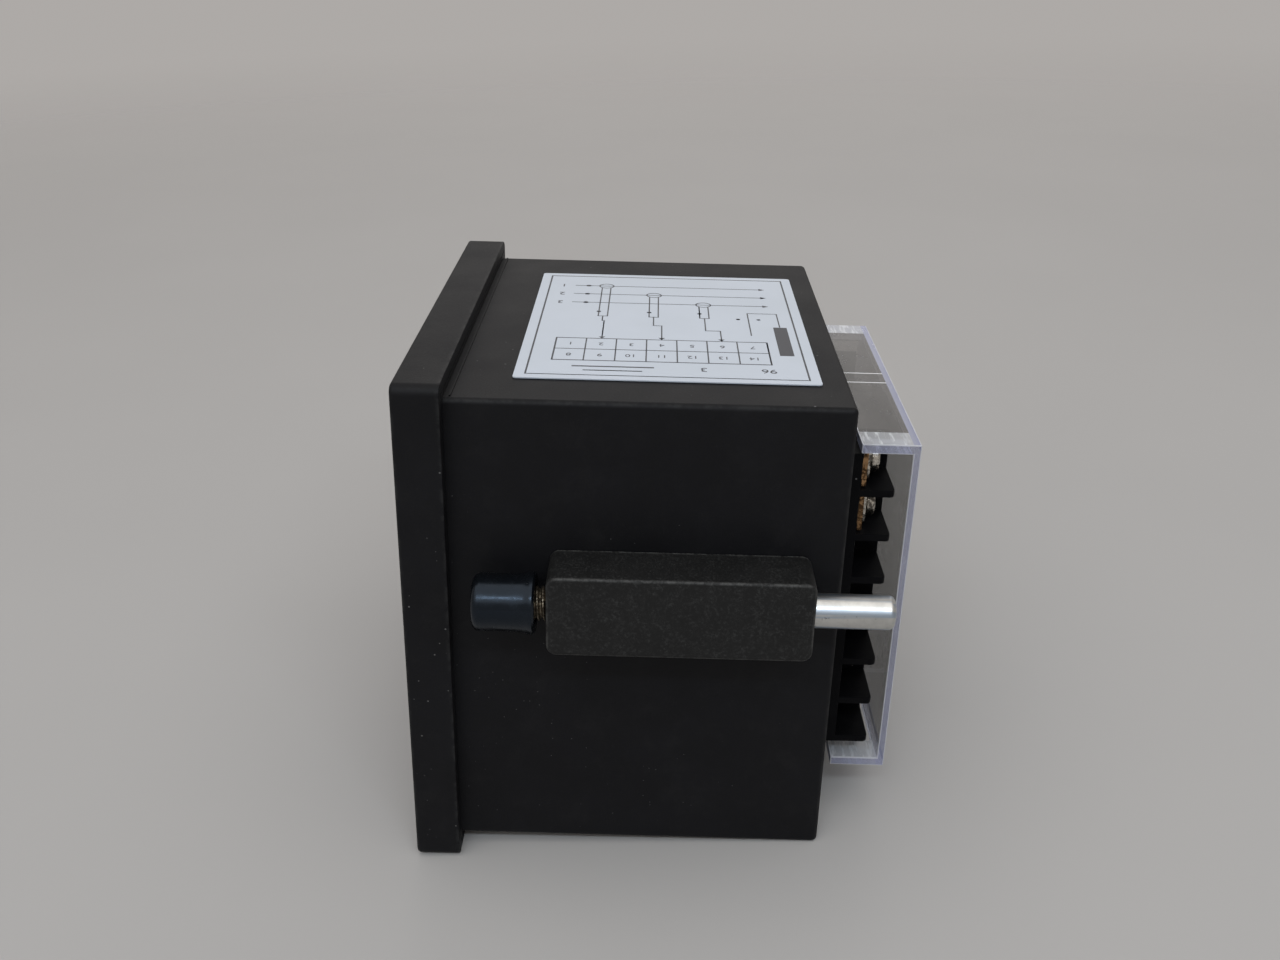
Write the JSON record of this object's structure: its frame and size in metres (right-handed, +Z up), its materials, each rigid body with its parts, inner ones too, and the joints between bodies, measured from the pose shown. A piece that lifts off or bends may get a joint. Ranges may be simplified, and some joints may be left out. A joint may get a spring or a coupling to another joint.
{
  "type": "panel ammeter",
  "caption": "Square panel-mounted digital ammeter with a deep black case, screw clamps on its sides and screw terminals under a clear cover at the rear.",
  "frame": {"origin": "centre of the bounding box on the ground, under the bezel's lower edge", "axes": "+X to the meter's right side seen from the front, +Y from the bezel to the terminals, +Z up"},
  "size_m": [0.1118, 0.09, 0.096],
  "materials": {
    "black_moulding": "fine matt texture",
    "clamp_moulding": "grainy, scuffed pale at the edges",
    "gloss_rubber": "glossy",
    "smoked_acrylic": "polished, see-through",
    "clear_acrylic": "polished, see-through",
    "black_mask": "satin",
    "digit_face": "satin",
    "green_board": "satin lacquer",
    "chip_black": "moulded",
    "board_steel": "plated",
    "core_steel": "varnished sheets",
    "winding_tape": "wound tape",
    "capacitor_sleeve": "shrunk sleeve",
    "suppressor_yellow": "moulded box",
    "varistor_blue": "dipped",
    "trimmer_blue": "moulded",
    "rotor_brass": "turned",
    "fuse_glaze": "clear",
    "nickel": "nickel plate",
    "ring_potting": "potted",
    "copper": "bare copper",
    "terminal_brass": "stamped strip",
    "zinc": "bluish zinc plate",
    "label_film": "satin film"
  },
  "bodies": {
    "meter": {"bezel": "black_moulding", "case_shell": "black_moulding", "terminal_strip_right": "black_moulding", "terminal_strip_left": "black_moulding", "window": "smoked_acrylic", "display_mask": "black_mask", "display_digit_1": "digit_face", "display_digit_2": "digit_face", "display_digit_3": "digit_face", "display_digit_4": "digit_face", "display_board": "green_board", "main_board": "green_board", "terminal_board": "green_board", "display_board_screw_1": "board_steel", "display_board_screw_2": "board_steel", "display_board_screw_3": "board_steel", "display_board_screw_4": "board_steel", "terminal_board_screw_1": "board_steel", "terminal_board_screw_2": "board_steel", "chip_socket": "chip_black", "controller_chip": "chip_black", "display_header": "chip_black", "terminal_header": "chip_black", "rectifier": "chip_black", "regulator": "chip_black", "transformer_core": "core_steel", "transformer_winding": "winding_tape", "reservoir_capacitor_1": "capacitor_sleeve", "reservoir_capacitor_2": "capacitor_sleeve", "trimmer_body": "trimmer_blue", "fuse": "fuse_glaze", "fuse_clip_1": "nickel", "fuse_clip_2": "nickel", "suppression_capacitor": "suppressor_yellow", "varistor": "varistor_blue", "current_transformer": "ring_potting", "primary_wire": "copper", "terminal_plate_1": "terminal_brass", "terminal_plate_2": "terminal_brass", "terminal_plate_3": "terminal_brass", "terminal_plate_4": "terminal_brass", "wiring_label": "label_film"},
    "cover": {"terminal_cover": "clear_acrylic"},
    "clamp_right": {"clamp_block_right": "clamp_moulding"},
    "pad_right": {"rod_cap_right": "gloss_rubber"},
    "rod_right": {"clamp_rod_right": "zinc"},
    "clamp_left": {"clamp_block_left": "clamp_moulding"},
    "pad_left": {"rod_cap_left": "gloss_rubber"},
    "rod_left": {"clamp_rod_left": "zinc"},
    "washer_1": {"terminal_washer_1": "nickel"},
    "washer_2": {"terminal_washer_2": "nickel"},
    "washer_3": {"terminal_washer_3": "nickel"},
    "washer_4": {"terminal_washer_4": "nickel"},
    "screw_1": {"terminal_screw_1": "nickel"},
    "screw_2": {"terminal_screw_2": "nickel"},
    "screw_3": {"terminal_screw_3": "nickel"},
    "screw_4": {"terminal_screw_4": "nickel"},
    "trimmer": {"trimmer_rotor": "rotor_brass"}
  },
  "joints": [
    {"name": "cover_pull", "type": "slide", "parent": "meter", "child": "cover", "axis": [0, 1, 0], "range_m": [0, 0.014]},
    {"name": "clamp_pull_right", "type": "slide", "parent": "meter", "child": "clamp_right", "axis": [1, 0, 0], "range_m": [0, 0.01]},
    {"name": "pad_feed_right", "type": "slide", "parent": "clamp_right", "child": "pad_right", "axis": [0, -1, 0], "range_m": [-0.0017, 0.0028]},
    {"name": "rod_turn_right", "type": "hinge", "parent": "pad_right", "child": "rod_right", "pos_m": [0.0505, -0.03035, 0.058], "axis": [0, -1, 0], "range_deg": [-613, 1009]},
    {"name": "clamp_pull_left", "type": "slide", "parent": "meter", "child": "clamp_left", "axis": [-1, 0, 0], "range_m": [0, 0.01]},
    {"name": "pad_feed_left", "type": "slide", "parent": "clamp_left", "child": "pad_left", "axis": [0, -1, 0], "range_m": [-0.0017, 0.0028]},
    {"name": "rod_turn_left", "type": "hinge", "parent": "pad_left", "child": "rod_left", "pos_m": [-0.0505, -0.03035, 0.058], "axis": [0, -1, 0], "range_deg": [-613, 1009]},
    {"name": "washer_rise_1", "type": "slide", "parent": "meter", "child": "washer_1", "axis": [0, 1, 0], "range_m": [0, 0.003]},
    {"name": "screw_turn_1", "type": "hinge", "parent": "washer_1", "child": "screw_1", "pos_m": [0.0266, 0.03745, 0.0767], "axis": [0, 1, 0], "range_deg": [0, 1801]},
    {"name": "washer_rise_2", "type": "slide", "parent": "meter", "child": "washer_2", "axis": [0, 1, 0], "range_m": [0, 0.003]},
    {"name": "screw_turn_2", "type": "hinge", "parent": "washer_2", "child": "screw_2", "pos_m": [0.0266, 0.03745, 0.0679], "axis": [0, 1, 0], "range_deg": [0, 1801]},
    {"name": "washer_rise_3", "type": "slide", "parent": "meter", "child": "washer_3", "axis": [0, 1, 0], "range_m": [0, 0.003]},
    {"name": "screw_turn_3", "type": "hinge", "parent": "washer_3", "child": "screw_3", "pos_m": [-0.0266, 0.03745, 0.0327], "axis": [0, 1, 0], "range_deg": [0, 1801]},
    {"name": "washer_rise_4", "type": "slide", "parent": "meter", "child": "washer_4", "axis": [0, 1, 0], "range_m": [0, 0.003]},
    {"name": "screw_turn_4", "type": "hinge", "parent": "washer_4", "child": "screw_4", "pos_m": [-0.0266, 0.03745, 0.0239], "axis": [0, 1, 0], "range_deg": [0, 1801]},
    {"name": "trimmer_turn", "type": "hinge", "parent": "meter", "child": "trimmer", "pos_m": [0.03425, -0.00225, 0.031], "axis": [0, 0, 1], "range_deg": [-135, 135]}
  ],
  "couplings": [
    {"joint": "rod_turn_right", "follows": "pad_feed_right", "rad_per_m": 6283.2},
    {"joint": "rod_turn_left", "follows": "pad_feed_left", "rad_per_m": 6283.2},
    {"joint": "screw_turn_1", "follows": "washer_rise_1", "rad_per_m": 10472},
    {"joint": "screw_turn_2", "follows": "washer_rise_2", "rad_per_m": 10472},
    {"joint": "screw_turn_3", "follows": "washer_rise_3", "rad_per_m": 10472},
    {"joint": "screw_turn_4", "follows": "washer_rise_4", "rad_per_m": 10472}
  ]
}
